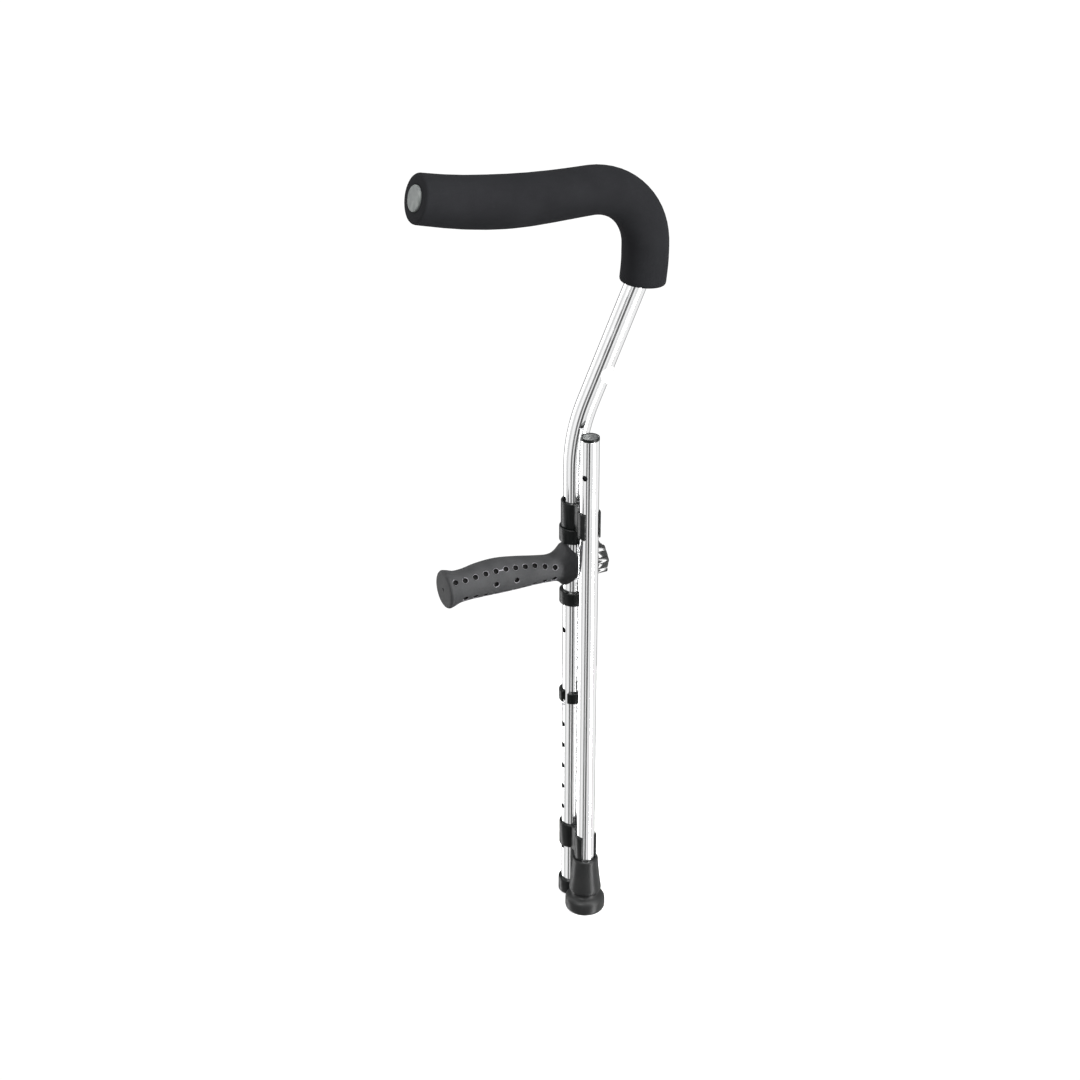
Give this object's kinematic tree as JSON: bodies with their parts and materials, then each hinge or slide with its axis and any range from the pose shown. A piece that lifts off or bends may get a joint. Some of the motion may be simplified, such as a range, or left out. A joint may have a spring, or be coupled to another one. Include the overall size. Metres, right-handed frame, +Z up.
{
  "type": "underarm crutch",
  "caption": "Folding single-tube underarm crutch with a foam-padded gooseneck rest, side hand grip and a lower leg clipped alongside.",
  "frame": {"origin": "centre of the rubber foot's sole, on the lower leg's axis", "axes": "+Z up along the lower leg, -X the way the underarm rest and the hand grip point, +Y from the lower leg towards the main tube"},
  "size_m": [0.2646, 0.0772, 0.826],
  "materials": {
    "aluminium": "polished and clear anodised tube",
    "steel": "bright plated steel",
    "brass": "turned brass",
    "black_plastic": "semi-gloss moulded black plastic",
    "core_plastic": "plain moulded plastic",
    "grey_plastic": "matt grey plastic",
    "grip_rubber": "matt charcoal soft rubber",
    "foot_rubber": "dark grey moulded rubber",
    "foam": "black closed-cell foam sleeve, matt and finely grained",
    "white_label": "plain white sticker"
  },
  "bodies": {
    "frame": {"main_tube": "aluminium", "gooseneck_tube": "aluminium", "underarm_foam": "foam", "pad_end_cap": "grey_plastic", "upper_clip": "black_plastic", "lower_clip": "black_plastic", "grip_ring_upper": "black_plastic", "grip_ring_lower": "black_plastic", "grip_shell": "grip_rubber", "grip_core": "core_plastic", "grip_insert": "brass", "main_tube_ferrule": "black_plastic", "catch_spring": "steel", "knob_saddle": "black_plastic", "round_label": "white_label"},
    "leg": {"leg_tube": "aluminium", "leg_top_plug": "black_plastic", "leg_spring": "steel", "foot_tip": "foot_rubber", "foot_washer": "steel"},
    "leg_button": {"leg_button": "steel"},
    "catch_button": {"catch_button": "steel"},
    "collar": {"lock_collar": "black_plastic"},
    "washer": {"knob_washer": "steel"},
    "knob": {"star_knob": "black_plastic", "knob_stud": "steel"}
  },
  "joints": [
    {"name": "leg_slide", "type": "slide", "parent": "frame", "child": "leg", "axis": [0, 0, 1], "range_m": [-0.545, 0]},
    {"name": "leg_press", "type": "slide", "parent": "leg", "child": "leg_button", "axis": [-0.848, -0.5299, 0], "range_m": [0, 0.003], "stiffness_N_per_m": 1000, "deforming": ["leg_spring"]},
    {"name": "catch_press", "type": "slide", "parent": "frame", "child": "catch_button", "axis": [1, 0, 0], "range_m": [0, 0.003], "stiffness_N_per_m": 1000, "deforming": ["catch_spring"]},
    {"name": "collar_slide", "type": "slide", "parent": "frame", "child": "collar", "axis": [0, 0, 1], "range_m": [0, 0.098]},
    {"name": "knob_travel", "type": "slide", "parent": "frame", "child": "washer", "axis": [1, 0, 0], "range_m": [0, 0.008]},
    {"name": "knob_turn", "type": "hinge", "parent": "washer", "child": "knob", "pos_m": [0.026, 0.0313, 0.4], "axis": [1, 0, 0], "range_deg": [0, 2890]}
  ],
  "couplings": [
    {"joint": "knob_turn", "follows": "knob_travel", "rad_per_m": 6283.2}
  ]
}
